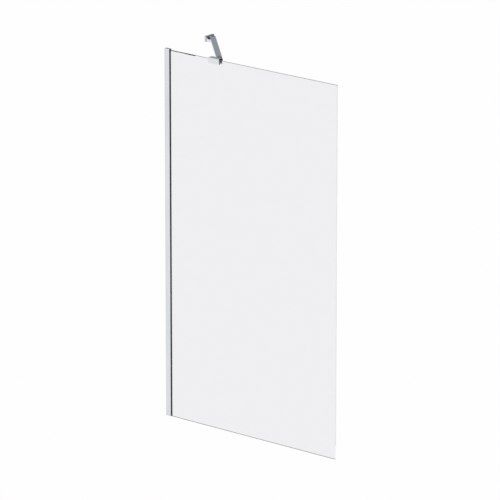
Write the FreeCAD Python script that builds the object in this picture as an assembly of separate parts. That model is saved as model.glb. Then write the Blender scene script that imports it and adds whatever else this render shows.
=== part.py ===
import FreeCAD, Part
import math
import os

# Bath screen: one fixed pane of clear glass in a wall channel, held at the top by a brace that runs
# from a clamp on the glass to a bracket on the wall at its back.
# Frame: X runs along the glass from the wall plane at X = 0, Y is depth with the glass centred on
# Y = 0 and the brace behind it at +Y, and Z is up from the foot of the screen at Z = 0. Millimetres.

# The screen
screen_width = 800.0
screen_height = 1400.0
glass_thickness = 6.0
glass_arris = 0.5

# Wall channel, its end caps and the strips that grip the glass
channel_depth = 23.0
channel_web = 2.0
channel_lip = 1.5
gasket_thickness = 1.75
edge_softening = 0.5
packer_gap = 7.0
packer_length = 60.0
packer_heights = (150.0, 700.0, 1250.0)
wall_screw_radius = 2.5
wall_screw_first = 70.0
wall_screw_pitch = 420.0
wall_screw_count = 4
bottom_cap_height = 5.0
top_cap_height = 4.0
cap_spigot = 15.0
cap_clearance = 0.2
gasket_reach = 1.1
gasket_start = 12.0
gasket_key_start = 15.0
gasket_key_width = 3.0
gasket_key_depth = 0.45
gasket_crown = 0.7
gasket_heel_setback = 0.2

# Clamp on the top edge of the glass
clamp_length = 50.0
clamp_height = 20.5
clamp_width = 21.0
clamp_centre_x = 237.0
clamp_roof = 5.5
clamp_front_leg = 5.5
clamp_rear_leg = 4.0
clamp_softening = 0.3
end_cap_plate = 1.2
end_cap_rim = 0.5
end_cap_spigot = 6.0
end_cap_spigot_width = 12.0
end_cap_spigot_height = 2.6
top_pad = 1.0
rear_pad = 1.2
pad_inset = 0.6
pad_rise = 4.3
pressure_plate = 1.5
grub_radius = 2.5
grub_offset = 20.0
grub_drop = 13.0
grub_recess = 0.3
grub_key = 2.5
grub_key_depth = 2.0

# Tongues that carry the brace, and the pivot screws
tongue_width = 20.0
pivot_washer = 1.0
pivot_washer_radius = 9.0
clamp_pivot_x = 232.3
clamp_standoff = 14.5
bracket_pivot_y = 230.4
bracket_standoff = 22.9
thread_radius = 2.5
thread_play = 0.05
thread_length = 7.5
shoulder_radius = 3.0
running_play = 0.05
screw_head_radius = 4.15
screw_head_height = 3.5
pivot_key = 4.0
pivot_key_depth = 2.2

# Brace
brace_width = 21.5
brace_height = 10.0
brace_wall = 1.2
brace_softening = 0.3
brace_overhang = 10.0
plug_length = 24.0
plug_flange = 1.5
plug_corner = 1.2
plug_play = 0.1
head_recess_radius = 4.5
plug_floor = 2.9

# Bracket on the wall
bracket_depth = 7.5
bracket_start_y = 218.5
bracket_length = 47.5
bracket_height = 21.0
bracket_drop = 1.8
bracket_wall = 2.0
bracket_softening = 0.2
bracket_tongue_lift = 2.0
bracket_web_length = 7.0
bracket_web_height = 7.0
bracket_web_thickness = 2.5
base_thickness = 3.0
base_length = 42.0
base_height = 14.0
base_screw_spacing = 26.0
bracket_grub_radius = 2.0
bracket_grub_y = 259.0
bracket_grub_x = 2.6
bracket_grub_key = 2.0
bracket_grub_key_depth = 1.5

# Levels and places that follow from these
glass_half = glass_thickness / 2
channel_half = glass_half + gasket_thickness + channel_lip
channel_mouth_half = glass_half + gasket_thickness
glass_start_x = channel_web + packer_gap
clamp_top = screen_height + top_pad + clamp_roof
clamp_bottom = clamp_top - clamp_height
brace_bottom = clamp_top - brace_height
brace_middle = brace_bottom + brace_height / 2
tongue_top = brace_bottom - pivot_washer
bracket_top = clamp_top - bracket_drop
bracket_bottom = bracket_top - bracket_height
clamp_half = clamp_width / 2
clamp_pivot = FreeCAD.Vector(clamp_pivot_x, clamp_half + clamp_standoff, 0)
bracket_pivot = FreeCAD.Vector(bracket_depth + bracket_standoff, bracket_pivot_y, 0)
brace_run = bracket_pivot.sub(clamp_pivot)
brace_span = brace_run.Length
brace_angle = math.degrees(math.atan2(brace_run.y, brace_run.x))
bracket_centre_y = bracket_start_y + bracket_length / 2
base_top = bracket_top - bracket_wall
base_bottom = base_top - base_height
base_middle = (base_top + base_bottom) / 2

up = FreeCAD.Vector(0, 0, 1)
across_glass = FreeCAD.Vector(0, 1, 0)
away_from_wall = FreeCAD.Vector(1, 0, 0)


def block(x, y, z):
    """A box between the low and high limits given for each axis."""
    corner = FreeCAD.Vector(x[0], y[0], z[0])
    return Part.makeBox(x[1] - x[0], y[1] - y[0], z[1] - z[0], corner)


def rod(radius, start, length, axis):
    """A round bar or hole from a start point along an axis."""
    return Part.makeCylinder(radius, length, start, axis)


def extrude_section(points, bottom, top):
    """A straight upright extrusion of a closed outline of (x, y) points."""
    corners = [FreeCAD.Vector(x, y, bottom) for x, y in points]
    outline = Part.makePolygon(corners + corners[:1])
    return Part.Face(outline).extrude(up * (top - bottom))


def soften(shape, radius, wanted):
    """Fillet the edges of a shape that the test picks out."""
    edges = [edge for edge in shape.Edges if wanted(edge)]
    return shape.makeFillet(radius, edges)


def runs_along(edge, axis):
    """True for a straight edge that lies along the given axis."""
    if not isinstance(edge.Curve, (Part.Line, Part.LineSegment)):
        return False
    run = edge.Vertexes[-1].Point.sub(edge.Vertexes[0].Point)
    return abs(abs(run.normalize().dot(axis)) - 1) < 1e-6


def hex_socket(across_flats, start, depth, axis):
    """A six-sided recess for a key, from a start point along an upright or a horizontal axis."""
    corner_radius = across_flats / math.sqrt(3)
    side = up if abs(axis.dot(up)) < 0.5 else away_from_wall
    other = axis.cross(side)
    corners = []
    for step in range(6):
        angle = math.radians(60 * step)
        spoke = side * math.cos(angle) + other * math.sin(angle)
        corners.append(start.add(spoke * corner_radius))
    outline = Part.makePolygon(corners + corners[:1])
    return Part.Face(outline).extrude(axis * depth)


def gasket_section(side):
    """Outline of one glazing strip on the front (-1) or rear (+1) face of the glass."""
    lip_face = side * channel_mouth_half
    glass_face = side * glass_half
    key_face = side * (channel_mouth_half + gasket_key_depth)
    nose = channel_depth + gasket_reach
    key_end = gasket_key_start + gasket_key_width
    points = [
        (gasket_start, glass_face),
        (gasket_start, lip_face),
        (gasket_key_start, lip_face),
        (gasket_key_start, key_face),
        (key_end, key_face),
        (key_end, lip_face),
        (channel_depth, lip_face),
    ]
    corners = [FreeCAD.Vector(x, y, bottom_cap_height) for x, y in points]
    heel = FreeCAD.Vector(nose - gasket_heel_setback, glass_face, bottom_cap_height)
    crown = FreeCAD.Vector(nose, side * (glass_half + gasket_crown), bottom_cap_height)
    edges = [Part.makeLine(a, b) for a, b in zip(corners, corners[1:])]
    edges.append(Part.Arc(corners[-1], crown, heel).toShape())
    edges.append(Part.makeLine(heel, corners[0]))
    return Part.Wire(edges)


def glazing_gasket(side):
    """Black strip pressed between the glass and one lip of the channel, with a key in the lip."""
    return Part.Face(gasket_section(side)).extrude(up * (screen_height - bottom_cap_height))


def wall_channel():
    """U-shaped extrusion on the wall, open towards the glass, with screw holes through its web."""
    inner_x = channel_web
    key_end = gasket_key_start + gasket_key_width
    key_half = channel_mouth_half + gasket_key_depth
    outline = [
        (0, -channel_half),
        (channel_depth, -channel_half),
        (channel_depth, -channel_mouth_half),
        (key_end, -channel_mouth_half),
        (key_end, -key_half),
        (gasket_key_start, -key_half),
        (gasket_key_start, -channel_mouth_half),
        (inner_x, -channel_mouth_half),
        (inner_x, channel_mouth_half),
        (gasket_key_start, channel_mouth_half),
        (gasket_key_start, key_half),
        (key_end, key_half),
        (key_end, channel_mouth_half),
        (channel_depth, channel_mouth_half),
        (channel_depth, channel_half),
        (0, channel_half),
    ]
    body = extrude_section(outline, bottom_cap_height, screen_height)
    body = soften(body, edge_softening, is_outer_lip_edge)
    for index in range(wall_screw_count):
        height = wall_screw_first + index * wall_screw_pitch
        hole = rod(wall_screw_radius, FreeCAD.Vector(-1, 0, height), channel_web + 2, away_from_wall)
        body = body.cut(hole)
    return body


def is_outer_lip_edge(edge):
    """The two upright corners of the channel or a cap that face the room."""
    middle = edge.CenterOfMass
    at_mouth = abs(middle.x - channel_depth) < 1e-6
    at_side = abs(abs(middle.y) - channel_half) < 1e-6
    return runs_along(edge, up) and at_mouth and at_side


def cap_spigot_block(low, high):
    """The tail of an end cap, which pushes into the hollow behind the glass."""
    play = cap_clearance
    half = channel_mouth_half - play
    return block((channel_web + play, glass_start_x - 2 * play), (-half, half), (low, high))


def channel_top_cap():
    """Flat cap over the end of the channel and the hidden corner of the glass."""
    top = screen_height + top_cap_height
    plate = block((0, channel_depth), (-channel_half, channel_half), (screen_height, top))
    plate = soften(plate, edge_softening, is_outer_lip_edge)
    tail = cap_spigot_block(screen_height - cap_spigot, screen_height)
    return plate.fuse(tail).removeSplitter()


def channel_bottom_cap():
    """Foot of the channel, slotted for the glass, with a tail in the hollow behind it."""
    plate = block((0, channel_depth), (-channel_half, channel_half), (0, bottom_cap_height))
    plate = soften(plate, edge_softening, is_outer_lip_edge)
    slot_half = glass_half + cap_clearance / 2
    slot_x = (glass_start_x - cap_clearance, channel_depth + 1)
    slot = block(slot_x, (-slot_half, slot_half), (-1, bottom_cap_height + 1))
    tail = cap_spigot_block(bottom_cap_height, bottom_cap_height + cap_spigot)
    return plate.cut(slot).fuse(tail).removeSplitter()


def glass_packers():
    """Spacers that set the hidden edge of the glass square to the wall."""
    half = glass_half - cap_clearance / 2
    pieces = []
    for height in packer_heights:
        levels = (height - packer_length / 2, height + packer_length / 2)
        pieces.append(block((channel_web, glass_start_x), (-half, half), levels))
    return Part.makeCompound(pieces)


def glass_panel():
    """The pane, with a polished arris along every edge."""
    pane = block((glass_start_x, screen_width), (-glass_half, glass_half), (0, screen_height))
    return pane.makeChamfer(glass_arris, pane.Edges)


def tongue(pivot, root, toward, bottom):
    """Flat arm with a round end that carries the brace, from a fitting's face out to the pivot."""
    centre = FreeCAD.Vector(pivot.x, pivot.y, bottom)
    half = tongue_width / 2
    disc = rod(half, centre, tongue_top - bottom, up)
    low = (pivot.x - half, root) if toward == across_glass else (root, pivot.y - half)
    high = (pivot.x + half, pivot.y) if toward == across_glass else (pivot.x, pivot.y + half)
    arm = block((low[0], high[0]), (low[1], high[1]), (bottom, tongue_top))
    return arm.fuse(disc)


def pivot_hole(pivot, bottom):
    """Threaded hole for the pivot screw, right through a tongue."""
    start = FreeCAD.Vector(pivot.x, pivot.y, bottom - 1)
    return rod(thread_radius, start, tongue_top - bottom + 2, up)


def clamp_body():
    """Inverted U over the top edge of the glass, with the brace's tongue on its rear leg."""
    ends = (clamp_centre_x - clamp_length / 2, clamp_centre_x + clamp_length / 2)
    body = block(ends, (-clamp_half, clamp_half), (clamp_bottom, clamp_top))
    body = soften(body, clamp_softening, is_clamp_top_edge)
    slot_y = (-clamp_half + clamp_front_leg, clamp_half - clamp_rear_leg)
    slot_z = (clamp_bottom - 1, clamp_top - clamp_roof)
    body = body.cut(block((ends[0] - 1, ends[1] + 1), slot_y, slot_z))
    for side in (-1, 1):
        body = body.cut(end_cap_plate_block(side, 1))
        body = body.cut(end_cap_spigot_block(side, plug_play))
    body = body.fuse(tongue(clamp_pivot, clamp_half - clamp_rear_leg / 2, across_glass, clamp_bottom))
    body = body.cut(pivot_hole(clamp_pivot, clamp_bottom))
    for start in grub_starts(clamp_half - clamp_rear_leg - 1):
        body = body.cut(rod(grub_radius, start, clamp_rear_leg + 2, across_glass))
    return body.removeSplitter()


def end_cap_plate_block(side, extra):
    """The space of an end cap's plate in the end of the clamp's roof, behind a rim at the front."""
    end = clamp_centre_x + side * clamp_length / 2
    x = sorted((end - side * end_cap_plate, end + side * extra))
    y = (end_cap_rim - clamp_half, clamp_half + extra)
    return block(x, y, (clamp_top - clamp_roof, clamp_top + extra))


def end_cap_spigot_block(side, play):
    """The peg behind an end cap's plate, or its socket in the clamp's roof with play all round."""
    root = clamp_centre_x + side * (clamp_length / 2 - end_cap_plate)
    x = sorted((root, root - side * (end_cap_spigot + play)))
    half = end_cap_spigot_width / 2 + play
    middle = clamp_top - clamp_roof / 2
    rise = end_cap_spigot_height / 2 + play
    return block(x, (-half, half), (middle - rise, middle + rise))


def clamp_end_cap(side):
    """Black plastic cap let into one end of the clamp's roof."""
    plate = soften(end_cap_plate_block(side, 0), clamp_softening, is_clamp_top_edge)
    return plate.fuse(end_cap_spigot_block(side, 0)).removeSplitter()


def is_clamp_top_edge(edge):
    """The outer long edges of the clamp's roof and of its end caps."""
    middle = edge.CenterOfMass
    at_side = abs(abs(middle.y) - clamp_half) < 1e-6
    return runs_along(edge, away_from_wall) and at_side and abs(middle.z - clamp_top) < 1e-6


def grub_starts(depth):
    """Where the two clamping screws start, at a given depth behind the glass."""
    level = clamp_top - grub_drop
    return [
        FreeCAD.Vector(clamp_centre_x + side * grub_offset, depth, level) for side in (-1, 1)
    ]


def clamp_pad_block(y, z):
    """A block as long as the clamp's pads, set in a little from the clamp's ends."""
    half = clamp_length / 2 - pad_inset
    return block((clamp_centre_x - half, clamp_centre_x + half), y, z)


def clamp_front_pad():
    """Rubber between the front leg and the glass."""
    y = (-clamp_half + clamp_front_leg, -glass_half)
    return clamp_pad_block(y, (clamp_bottom + pad_rise, screen_height))


def clamp_rear_pad():
    """Rubber between the pressure plate and the glass."""
    y = (glass_half, glass_half + rear_pad)
    return clamp_pad_block(y, (clamp_bottom + pad_rise, screen_height))


def clamp_top_pad():
    """Rubber under the roof, which sits on the top edge of the glass."""
    return clamp_pad_block((-glass_half, glass_half), (screen_height, screen_height + top_pad))


def clamp_pressure_plate():
    """Steel strip that spreads the push of the two clamping screws."""
    front = glass_half + rear_pad
    levels = (clamp_bottom + pad_rise, screen_height)
    return clamp_pad_block((front, front + pressure_plate), levels)


def clamp_grub_screws():
    """Two set screws through the rear leg, driven with a key from behind."""
    front = glass_half + rear_pad + pressure_plate
    length = clamp_half - grub_recess - front
    screws = []
    for start in grub_starts(front):
        screw = rod(grub_radius - thread_play, start, length, across_glass)
        mouth = start.add(across_glass * length)
        screws.append(screw.cut(hex_socket(grub_key, mouth, grub_key_depth, across_glass * -1)))
    return Part.makeCompound(screws)


def pivot_screw(pivot):
    """Shoulder screw that clamps the brace on a tongue and lets it turn."""
    shoulder_length = pivot_washer + brace_wall + plug_play + plug_floor
    foot = FreeCAD.Vector(pivot.x, pivot.y, tongue_top - thread_length)
    thread = rod(thread_radius - thread_play, foot, thread_length, up)
    shoulder_foot = FreeCAD.Vector(pivot.x, pivot.y, tongue_top)
    shoulder = rod(shoulder_radius, shoulder_foot, shoulder_length, up)
    head_foot = shoulder_foot.add(up * shoulder_length)
    head = rod(screw_head_radius, head_foot, screw_head_height, up)
    head_top = head_foot.add(up * screw_head_height)
    socket = hex_socket(pivot_key, head_top, pivot_key_depth, up * -1)
    return thread.fuse([shoulder, head]).cut(socket).removeSplitter()


def washer(pivot):
    """Plastic friction washer between a tongue and the brace."""
    foot = FreeCAD.Vector(pivot.x, pivot.y, tongue_top)
    bore = rod(shoulder_radius + running_play, foot, pivot_washer, up)
    return rod(pivot_washer_radius, foot, pivot_washer, up).cut(bore)


def place_on_brace(shape):
    """Move a shape from the brace's own frame, pivot at the origin and run along X, to its place."""
    origin = FreeCAD.Vector(0, 0, 0)
    placed = shape.copy()
    placed.rotate(origin, up, brace_angle)
    placed.translate(FreeCAD.Vector(clamp_pivot.x, clamp_pivot.y, brace_middle))
    return placed


def pivot_places():
    """The two pivots along the brace, in the brace's own frame."""
    return [FreeCAD.Vector(0, 0, 0), FreeCAD.Vector(brace_span, 0, 0)]


def brace_tube():
    """Rectangular tube with a hole above each pivot for the screw head and one below for its shoulder."""
    half_width = brace_width / 2
    half_height = brace_height / 2
    ends = (-brace_overhang + plug_flange, brace_span + brace_overhang - plug_flange)
    tube = block(ends, (-half_width, half_width), (-half_height, half_height))
    tube = soften(tube, brace_softening, lambda edge: runs_along(edge, away_from_wall))
    inner_y = half_width - brace_wall
    inner_z = half_height - brace_wall
    hollow = block((ends[0] - 1, ends[1] + 1), (-inner_y, inner_y), (-inner_z, inner_z))
    tube = tube.cut(hollow)
    for centre in pivot_places():
        tube = tube.cut(rod(head_recess_radius, centre, half_height + 1, up))
        tube = tube.cut(rod(shoulder_radius + running_play, centre, half_height + 1, up * -1))
    return place_on_brace(tube)


def brace_plug(centre, outward):
    """End piece of the brace: a flange over the tube's end and a solid plug that takes the screw."""
    half_width = brace_width / 2
    half_height = brace_height / 2
    tip = centre.x + outward * brace_overhang
    shoulder = tip - outward * plug_flange
    tail = tip - outward * plug_length
    inner_y = half_width - brace_wall - plug_play
    inner_z = half_height - brace_wall - plug_play
    flange_x = (min(tip, shoulder), max(tip, shoulder))
    plug_x = (min(shoulder, tail), max(shoulder, tail))
    flange = block(flange_x, (-half_width, half_width), (-half_height, half_height))
    flange = soften(flange, plug_corner, lambda edge: is_plug_corner(edge, tip))
    flange = soften(flange, brace_softening, lambda edge: runs_along(edge, away_from_wall))
    plug = block(plug_x, (-inner_y, inner_y), (-inner_z, inner_z))
    floor = centre.add(up * (plug_floor - inner_z))
    piece = flange.fuse(plug)
    piece = piece.cut(rod(head_recess_radius, floor, brace_height, up))
    piece = piece.cut(rod(shoulder_radius + running_play, centre, half_height + 1, up * -1))
    piece = piece.cut(rod(shoulder_radius + running_play, centre, half_height, up))
    return place_on_brace(piece.removeSplitter())


def is_plug_corner(edge, tip):
    """The two upright corners at the very end of the brace, in the brace's own frame."""
    return runs_along(edge, up) and abs(edge.CenterOfMass.x - tip) < 1e-6


def wall_bracket_cover():
    """Hollow block over the base plate, with the brace's tongue on its front."""
    y = (bracket_start_y, bracket_start_y + bracket_length)
    body = block((0, bracket_depth), y, (bracket_bottom, bracket_top))
    body = soften(body, bracket_softening, is_bracket_front_edge)
    hollow_y = (y[0] + bracket_wall, y[1] - bracket_wall)
    hollow_z = (bracket_bottom + bracket_wall, bracket_top - bracket_wall)
    hollow = block((-1, bracket_depth - bracket_wall), hollow_y, hollow_z)
    body = body.cut(hollow)
    tongue_bottom = bracket_bottom + bracket_tongue_lift
    root = bracket_depth - bracket_wall / 2
    body = body.fuse(tongue(bracket_pivot, root, away_from_wall, tongue_bottom))
    body = body.fuse(bracket_web())
    body = body.cut(pivot_hole(bracket_pivot, tongue_bottom))
    grub_foot = FreeCAD.Vector(bracket_grub_x, bracket_grub_y, bracket_bottom - 1)
    body = body.cut(rod(bracket_grub_radius, grub_foot, bracket_wall + 2, up))
    return body.removeSplitter()


def bracket_web():
    """Three-cornered web on the tongue's edge nearest the glass, where it meets the bracket's front."""
    edge_y = bracket_pivot_y - tongue_width / 2
    outline = [
        FreeCAD.Vector(bracket_depth, edge_y, tongue_top),
        FreeCAD.Vector(bracket_depth + bracket_web_length, edge_y, tongue_top),
        FreeCAD.Vector(bracket_depth, edge_y, tongue_top + bracket_web_height),
    ]
    face = Part.Face(Part.makePolygon(outline + outline[:1]))
    return face.extrude(across_glass * bracket_web_thickness)


def is_bracket_front_edge(edge):
    """The edges round the bracket's front face."""
    at_front = abs(edge.CenterOfMass.x - bracket_depth) < 1e-6
    return at_front and (runs_along(edge, up) or runs_along(edge, across_glass))


def wall_bracket_base():
    """Steel plate screwed to the wall, which the cover slides over."""
    y = (bracket_centre_y - base_length / 2, bracket_centre_y + base_length / 2)
    plate = block((0, base_thickness), y, (base_bottom, base_top))
    for side in (-1, 1):
        centre_y = bracket_centre_y + side * base_screw_spacing / 2
        start = FreeCAD.Vector(-1, centre_y, base_middle)
        plate = plate.cut(rod(wall_screw_radius, start, base_thickness + 2, away_from_wall))
    return plate


def wall_bracket_grub_screw():
    """Set screw from below that locks the cover on its base plate."""
    low = bracket_bottom + grub_recess
    foot = FreeCAD.Vector(bracket_grub_x, bracket_grub_y, low)
    screw = rod(bracket_grub_radius - thread_play, foot, base_bottom - low, up)
    return screw.cut(hex_socket(bracket_grub_key, foot, bracket_grub_key_depth, up))


def build_nodes():
    """Every separate piece of the screen, by name."""
    wall_end = pivot_places()[1]
    return {
        "wall_channel": wall_channel(),
        "channel_top_cap": channel_top_cap(),
        "channel_bottom_cap": channel_bottom_cap(),
        "front_glazing_gasket": glazing_gasket(-1),
        "rear_glazing_gasket": glazing_gasket(1),
        "glass_packers": glass_packers(),
        "glass_panel": glass_panel(),
        "clamp_body": clamp_body(),
        "clamp_end_cap_wall_side": clamp_end_cap(-1),
        "clamp_end_cap_free_side": clamp_end_cap(1),
        "clamp_front_pad": clamp_front_pad(),
        "clamp_rear_pad": clamp_rear_pad(),
        "clamp_top_pad": clamp_top_pad(),
        "clamp_pressure_plate": clamp_pressure_plate(),
        "clamp_grub_screws": clamp_grub_screws(),
        "clamp_pivot_screw": pivot_screw(clamp_pivot),
        "clamp_pivot_washer": washer(clamp_pivot),
        "brace_tube": brace_tube(),
        "brace_plug_clamp_end": brace_plug(pivot_places()[0], -1),
        "brace_plug_wall_end": brace_plug(wall_end, 1),
        "wall_pivot_screw": pivot_screw(bracket_pivot),
        "wall_pivot_washer": washer(bracket_pivot),
        "wall_bracket_cover": wall_bracket_cover(),
        "wall_bracket_base": wall_bracket_base(),
        "wall_bracket_grub_screw": wall_bracket_grub_screw(),
    }


def write_nodes(nodes):
    """Save each piece as its own file and report its size."""
    os.makedirs("parts", exist_ok=True)
    for name, shape in nodes.items():
        if not shape.isValid():
            raise ValueError(name + " is not a valid solid")
        shape.exportStep("parts/" + name + ".step")
        print(name, len(shape.Solids), "solid(s),", round(shape.Volume), "mm3")


write_nodes(build_nodes())
print("brace: %.1f mm between pivots at %.1f degrees" % (brace_span, brace_angle))
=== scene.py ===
import math

import bpy
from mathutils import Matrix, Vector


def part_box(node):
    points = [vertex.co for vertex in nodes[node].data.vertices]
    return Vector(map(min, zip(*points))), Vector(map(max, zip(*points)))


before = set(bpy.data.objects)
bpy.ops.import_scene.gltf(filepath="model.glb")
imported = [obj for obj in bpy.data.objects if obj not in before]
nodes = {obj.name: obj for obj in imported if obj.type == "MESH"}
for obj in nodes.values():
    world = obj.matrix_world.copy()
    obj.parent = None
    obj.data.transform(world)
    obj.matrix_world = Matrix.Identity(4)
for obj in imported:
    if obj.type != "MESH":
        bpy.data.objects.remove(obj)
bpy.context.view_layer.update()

scene = bpy.context.scene
print("frame loaded:", len(nodes), "pieces")


class Wire:
    # the output of a node; an expression on it adds Math nodes

    def __init__(self, sheet, socket):
        self.sheet = sheet
        self.socket = socket

    def __add__(self, other):
        return self.sheet.sum("ADD", self, other)

    def __radd__(self, other):
        return self.sheet.sum("ADD", other, self)

    def __sub__(self, other):
        return self.sheet.sum("SUBTRACT", self, other)

    def __rsub__(self, other):
        return self.sheet.sum("SUBTRACT", other, self)

    def __mul__(self, other):
        return self.sheet.sum("MULTIPLY", self, other)

    def __rmul__(self, other):
        return self.sheet.sum("MULTIPLY", other, self)

    def __or__(self, other):               # where either of two masks is set
        return self.sheet.sum("MAXIMUM", self, other)

    def __ror__(self, other):
        return self.sheet.sum("MAXIMUM", other, self)

    def __gt__(self, limit):
        return self.sheet.sum("GREATER_THAN", self, limit)

    def __lt__(self, limit):
        return self.sheet.sum("LESS_THAN", self, limit)

    def __abs__(self):
        return self.sheet.sum("ABSOLUTE", self)


class Sheet:
    # the node tree of one material or of the world

    def __init__(self, tree):
        self.tree = tree
        self.tree.nodes.clear()

    def add(self, kind, settings=None, values=None, output=0):
        node = self.tree.nodes.new(kind)
        for name, value in (settings or {}).items():
            setattr(node, name, value)
        for name, value in (values or {}).items():
            if isinstance(value, Wire):
                self.tree.links.new(value.socket, node.inputs[name])
            else:
                node.inputs[name].default_value = value
        return Wire(self, node.outputs[output]) if node.outputs else None

    def sum(self, operation, *terms):
        return self.add("ShaderNodeMath", {"operation": operation}, dict(enumerate(terms)))

    def place(self, output="Object"):
        return self.add("ShaderNodeTexCoord", output=output)

    def split(self, vector, axis):
        return self.add("ShaderNodeSeparateXYZ", values={0: vector}, output=axis)

    def noise(self, scale, stretch=(1.0, 1.0, 1.0), detail=4.0, roughness=0.55):
        at = self.add("ShaderNodeMapping", values={"Vector": self.place(), "Scale": stretch})
        values = {"Vector": at, "Scale": scale, "Detail": detail, "Roughness": roughness}
        return self.add("ShaderNodeTexNoise", values=values)

    def ease(self, value, ends, first=0.0, last=1.0):
        low, high = ends
        limits = {"Value": value, "From Min": low, "From Max": high, "To Min": first, "To Max": last}
        return self.add("ShaderNodeMapRange", {"interpolation_type": "SMOOTHSTEP"}, limits)

    def tint(self, factor, first, second, blend="MIX"):
        values = {0: factor, 6: first, 7: second}
        return self.add("ShaderNodeMix", {"data_type": "RGBA", "blend_type": blend}, values, output=2)

    def bump(self, height, depth, strength):
        values = {"Height": height, "Distance": depth, "Strength": strength}
        return self.add("ShaderNodeBump", values=values)

    def principled(self, **values):
        named = {name.replace("_", " "): value for name, value in values.items()}
        return self.add("ShaderNodeBsdfPrincipled", values=named)

    def mixShader(self, factor, first, second):
        return self.add("ShaderNodeMixShader", values={0: factor, 1: first, 2: second})

    def lightPath(self, output):
        return self.add("ShaderNodeLightPath", output=output)

    def finish(self, surface, kind="ShaderNodeOutputMaterial"):
        self.add(kind, values={"Surface": surface})


def newMaterial(name):
    material = bpy.data.materials.new(name)
    material.use_nodes = True
    return material, Sheet(material.node_tree)


def rgba(colour):
    return (*colour, 1.0)


def grey(level):
    return (level, level, level, 1.0)


def dress(material, *names):
    for name in names:
        for slot in nodes[name].material_slots:
            slot.material = material


channelLook = {
    "colour": (0.79, 0.81, 0.84),
    "shade": (0.74, 0.76, 0.79),
    "cloudStretch": (1.0, 1.0, 0.25),
    "cloudScale": 30.0,
    "cloudEnds": (0.35, 0.7),
    "roughness": 0.13,                     # to which the lines add a little
    "lineStretch": (1.0, 1.0, 0.0006),     # drawn out along the extrusion
    "lineScale": 2600.0,
    "lineDetail": 3.0,
    "lineRoughness": 0.07,
    "lineDepth": 0.00001,
    "lineStrength": 0.08,
}


def extrudedAluminium(look):
    material, sheet = newMaterial("brightAluminium")
    lines = sheet.noise(look["lineScale"], look["lineStretch"], detail=look["lineDetail"])
    clouds = sheet.ease(sheet.noise(look["cloudScale"], look["cloudStretch"]), look["cloudEnds"])
    surface = sheet.principled(
        Base_Color=sheet.tint(clouds, rgba(look["colour"]), rgba(look["shade"])),
        Metallic=1.0,
        Roughness=lines * look["lineRoughness"] + look["roughness"],
        Normal=sheet.bump(lines, look["lineDepth"], look["lineStrength"]),
    )
    sheet.finish(surface)
    return material


chromeLook = {
    "colour": (0.82, 0.83, 0.865),
    "shade": (0.78, 0.79, 0.835),
    "roughness": 0.035,
    "smudgeScale": 55.0,
    "smudgeEnds": (0.45, 0.8),
    "smudgeRoughness": 0.06,
    "peelScale": 900.0,                    # the faint orange peel of plating
    "peelDetail": 2.0,
    "peelDepth": 0.000004,
    "peelStrength": 0.05,
}


def chromePlate(look):
    material, sheet = newMaterial("chromePlate")
    smudge = sheet.ease(sheet.noise(look["smudgeScale"]), look["smudgeEnds"])
    peel = sheet.noise(look["peelScale"], detail=look["peelDetail"])
    surface = sheet.principled(
        Base_Color=sheet.tint(smudge, rgba(look["colour"]), rgba(look["shade"])),
        Metallic=1.0,
        Roughness=smudge * look["smudgeRoughness"] + look["roughness"],
        Normal=sheet.bump(peel, look["peelDepth"], look["peelStrength"]),
    )
    sheet.finish(surface)
    return material


steelLook = {
    "colour": (0.60, 0.61, 0.62),
    "shade": (0.45, 0.46, 0.47),
    "roughness": 0.24,
    "grainScale": 1400.0,
    "grainRoughness": 0.16,
    "grainDepth": 0.00002,
    "grainStrength": 0.15,
}


def screwSteel(look):
    material, sheet = newMaterial("screwSteel")
    grain = sheet.noise(look["grainScale"])
    surface = sheet.principled(
        Base_Color=sheet.tint(grain, rgba(look["colour"]), rgba(look["shade"])),
        Metallic=1.0,
        Roughness=grain * look["grainRoughness"] + look["roughness"],
        Normal=sheet.bump(grain, look["grainDepth"], look["grainStrength"]),
    )
    sheet.finish(surface)
    return material


# what the plastics and rubbers share, then what each has of its own
mouldedLook = {
    "cloudScale": 40.0, "cloudEnds": (0.3, 0.7), "grainStrength": 0.3,
    "roughness": 0.5, "grainRoughness": 0.2, "grainScale": 1800.0, "grainDepth": 0.00004, "gloss": 0.5,
}
stripLook = {
    **mouldedLook, "name": "blackRubber", "colour": (0.024, 0.026, 0.031), "shade": (0.034, 0.036, 0.042),
}
padLook = {
    **mouldedLook, "name": "greyPad", "colour": (0.16, 0.165, 0.17), "shade": (0.13, 0.135, 0.14),
}
washerLook = {
    **mouldedLook, "name": "naturalNylon", "colour": (0.74, 0.74, 0.71), "shade": (0.68, 0.68, 0.65),
    "roughness": 0.4, "grainRoughness": 0.15, "grainScale": 1200.0, "grainDepth": 0.00002,
}
plugLook = {
    **mouldedLook, "name": "greyPlug", "colour": (0.10, 0.105, 0.11), "shade": (0.13, 0.135, 0.14),
    "roughness": 0.38, "grainRoughness": 0.18, "grainScale": 1500.0, "grainDepth": 0.00003,
}
# near black, the darkest finish here, so that the clamp's ends are its darkest spots
endCapLook = {
    **mouldedLook, "name": "blackEndCap", "colour": (0.004, 0.004, 0.005), "shade": (0.007, 0.007, 0.008),
    "roughness": 0.4, "grainScale": 1500.0, "grainDepth": 0.00003, "gloss": 0.15,
}


def moulded(look):
    material, sheet = newMaterial(look["name"])
    grain = sheet.noise(look["grainScale"])
    clouds = sheet.ease(sheet.noise(look["cloudScale"]), look["cloudEnds"])
    surface = sheet.principled(
        Base_Color=sheet.tint(clouds, rgba(look["colour"]), rgba(look["shade"])),
        Roughness=grain * look["grainRoughness"] + look["roughness"],
        Specular_IOR_Level=look["gloss"],
        Normal=sheet.bump(grain, look["grainDepth"], look["grainStrength"]),
    )
    sheet.finish(surface)
    return material


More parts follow.
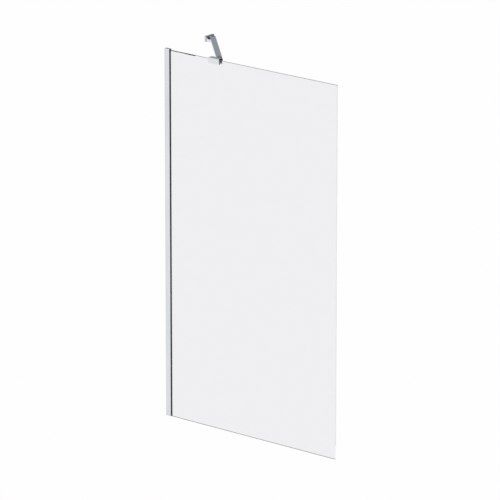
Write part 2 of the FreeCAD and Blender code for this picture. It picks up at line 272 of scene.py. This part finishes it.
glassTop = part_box("glass_panel")[1].z
glassLook = {
    "body": (0.8745, 0.8750, 0.8910),
    "refraction": 1.5,
    "passing": (0.93, 0.94, 0.94),         # tint of light on its way between other pieces
    "rollerStretch": (1.0, 1.0, 0.15),
    "rollerScale": 3.5,                    # the long waves that the rollers leave in the glass
    "rollerDetail": 1.0,
    "rollerDepth": 0.00002,
    "rollerStrength": 0.5,
    "faceTurn": 0.9,                       # what faces Y less than this is an edge
    "edgeRoughness": 0.3,
    "edgeGloss": 0.2,
    "edge": (0.80, 0.83, 0.83),            # the polished free edge
    "edgeFoot": (0.95, 0.96, 0.96),
    "edgeFootHeight": 0.052,               # painted light: the lowest stretch of it is lighter
    "topLine": (0.35, 0.38, 0.38),
    "topDepth": 0.0025,
    # a dark line painted along the foot of the pane, for how the foot edge looks in the light
    "footLine": (0.10, 0.11, 0.11),
    "footHeight": 0.0008,
    "footBand": 0.0007,                    # how far the painted foot line reaches up the clear face
    "channelReflectionNear": (0.02, 0.021, 0.022),      # painted reflection of the channel along the top edge's first stretch
    "channelReflectionFar": (0.006, 0.006, 0.006),
    "channelReflectionEnds": (0.02, 0.143),
    "reflectionBandEnds": (0.08, 0.125),
    "reflectionBandDepths": (0.0015, 0.0025),        # how far the painted reflection reaches down the face
}


def clearGlass(look):
    material, sheet = newMaterial("clearGlass")
    place = sheet.place()
    along = sheet.split(place, "X")
    height = sheet.split(place, "Z")
    facing = abs(sheet.split(sheet.place("Normal"), "Y"))
    roller = sheet.noise(look["rollerScale"], look["rollerStretch"], detail=look["rollerDetail"])
    body = sheet.principled(
        Base_Color=rgba(look["body"]),
        Roughness=0.0,
        IOR=look["refraction"],
        Transmission_Weight=1.0,
        Normal=sheet.bump(roller, look["rollerDepth"], look["rollerStrength"]),
    )

    # round the edge: the free side, painted lighter on its lowest stretch; the top, with a painted
    # reflection of the channel along its first stretch; and a painted dark line at the foot
    free = sheet.tint(height < look["edgeFootHeight"], rgba(look["edge"]), rgba(look["edgeFoot"]))
    nearWall = along < look["channelReflectionEnds"][1]
    # painted reflection of the channel, darker towards the end of the first stretch
    dark = sheet.tint(sheet.ease(along, look["channelReflectionEnds"]), rgba(look["channelReflectionNear"]), rgba(look["channelReflectionFar"]))
    top = sheet.tint(nearWall, rgba(look["topLine"]), dark)
    colour = sheet.tint(height > glassTop - look["topDepth"], free, top)
    colour = sheet.tint(height < look["footHeight"], colour, rgba(look["footLine"]))
    edge = sheet.principled(
        Base_Color=colour,
        Roughness=look["edgeRoughness"],
        Specular_IOR_Level=look["edgeGloss"],
    )
    # the painted reflection also covers a narrow band at the top of the face along the first stretch
    depth = sheet.ease(along, look["reflectionBandEnds"], *look["reflectionBandDepths"])
    reflectionBand = (height > glassTop - depth) * nearWall
    atEdge = (facing < look["faceTurn"]) | reflectionBand | (height < look["footBand"])
    pane = sheet.mixShader(atEdge, body, edge)

    # light on its way between other pieces passes straight through
    clear = sheet.add("ShaderNodeBsdfTransparent", values={"Color": rgba(look["passing"])})
    passing = sheet.lightPath("Is Shadow Ray") | sheet.lightPath("Is Diffuse Ray")
    sheet.finish(sheet.mixShader(passing, pane, clear))
    return material


dress(extrudedAluminium(channelLook), "wall_channel", "channel_bottom_cap")
dress(chromePlate(chromeLook), "channel_top_cap", "clamp_body", "brace_tube", "wall_bracket_cover")
dress(
    screwSteel(steelLook),
    "clamp_pressure_plate", "clamp_grub_screws", "clamp_pivot_screw", "wall_pivot_screw",
    "wall_bracket_base", "wall_bracket_grub_screw",
)
dress(moulded(stripLook), "front_glazing_gasket", "rear_glazing_gasket")
dress(moulded(padLook), "clamp_front_pad", "clamp_rear_pad", "clamp_top_pad")
dress(moulded(washerLook), "glass_packers", "clamp_pivot_washer", "wall_pivot_washer")
dress(moulded(plugLook), "brace_plug_clamp_end", "brace_plug_wall_end")
dress(moulded(endCapLook), "clamp_end_cap_wall_side", "clamp_end_cap_free_side")
dress(clearGlass(glassLook), "glass_panel")
print("finishes made and put on the pieces")


floorLook = {
    "size": 40.0,
    "drop": 0.0002,                        # just under the foot of the glass
    "level": 0.99,
}
mirroredDepth = 0.5                        # a ray that has met a shiny surface is past this


def makeFloor(look):
    half = look["size"] / 2
    corners = [(x * half, y * half, -look["drop"]) for x, y in ((-1, -1), (1, -1), (1, 1), (-1, 1))]
    mesh = bpy.data.meshes.new("floor")
    mesh.from_pydata(corners, [], [range(len(corners))])
    floor = bpy.data.objects.new("floor", mesh)
    scene.collection.objects.link(floor)
    material, sheet = newMaterial("paleFloor")
    # what is mirrored, at first hand or through the pane, looks past the floor to the studio round it
    mirrored = sheet.lightPath("Glossy Depth") > mirroredDepth
    lit = sheet.add("ShaderNodeEmission", values={"Color": grey(look["level"])})
    clear = sheet.add("ShaderNodeBsdfTransparent")
    sheet.finish(sheet.mixShader(mirrored, lit, clear))
    mesh.materials.append(material)


# the studio's soft light, and what shiny surfaces mirror of it, by direction
studio = {
    "ambient": 1.0,
    "reflector": 0.9,                      # on the wall's side
    "flag": (0.13, 0.135, 0.153),          # on the free side
    "flagEnds": (-0.35, 0.45),
    "flagStart": 0.0,
    "flagLift": 0.09,                      # the near part of the flag is a little lighter
    "flagLiftEnds": (0.1, -0.4),
    "strip": 1.1,                          # a narrow light along +X
    "stripEnds": (0.955, 0.985),
    "wall": (0.313, 0.333, 0.360),         # above eye level, which upward faces mirror
    "wallEnds": (0.02, 0.16),
    "card": (0.05, 0.05, 0.055),           # a small black card on that wall
    "cardAt": (0.6113, 0.7358, 0.2914),
    "cardEnds": (0.95, 0.98),
    "ceiling": 1.05,
    "ceilingEnds": (0.5, 0.85),
}


def makeWorld(look):
    world = bpy.data.worlds.new("studio")
    world.use_nodes = True
    scene.world = world
    sheet = Sheet(world.node_tree)
    direction = sheet.place("Generated")
    x = sheet.split(direction, "X")
    y = sheet.split(direction, "Y")
    z = sheet.split(direction, "Z")

    sides = sheet.tint(sheet.ease(x, look["flagEnds"]), grey(look["reflector"]), rgba(look["flag"]))
    lift = sheet.ease(y, look["flagLiftEnds"]) * (x > look["flagStart"]) * look["flagLift"]
    sides = sheet.tint(lift, sides, grey(1.0), blend="ADD")
    sides = sheet.tint(sheet.ease(x, look["stripEnds"]), sides, grey(look["strip"]))

    toCard = {0: direction, 1: look["cardAt"]}
    nearCard = sheet.add("ShaderNodeVectorMath", {"operation": "DOT_PRODUCT"}, toCard, output=1)
    upper = sheet.tint(sheet.ease(nearCard, look["cardEnds"]), rgba(look["wall"]), rgba(look["card"]))
    upper = sheet.tint(sheet.ease(z, look["ceilingEnds"]), upper, grey(look["ceiling"]))

    mirrored = sheet.tint(sheet.ease(z, look["wallEnds"]), sides, upper)
    isMirrored = sheet.lightPath("Glossy Depth") > mirroredDepth
    colour = sheet.tint(isMirrored, grey(look["ambient"]), mirrored)
    background = sheet.add("ShaderNodeBackground", values={"Color": colour})
    sheet.finish(background, "ShaderNodeOutputWorld")


makeFloor(floorLook)
makeWorld(studio)
scene.view_settings.view_transform = "Standard"
scene.view_settings.look = "None"
print("floor and light set")


cameraLook = {
    "place": (12.1594, -14.2201, 6.2606),
    "azimuth": 39.593,
    "elevation": 16.730,
    "lens": 382.80,
    "sensor": 36.0,
    "reach": 200.0,
}


def makeCamera(look):
    camera = bpy.data.objects.new("camera", bpy.data.cameras.new("camera"))
    camera.data.sensor_width = look["sensor"]
    camera.data.lens = look["lens"]
    camera.data.clip_end = look["reach"]
    camera.location = look["place"]
    camera.rotation_euler = (math.radians(90.0 - look["elevation"]), 0.0, math.radians(look["azimuth"]))
    scene.collection.objects.link(camera)
    bpy.context.scene.camera = camera


makeCamera(cameraLook)
print("camera set")
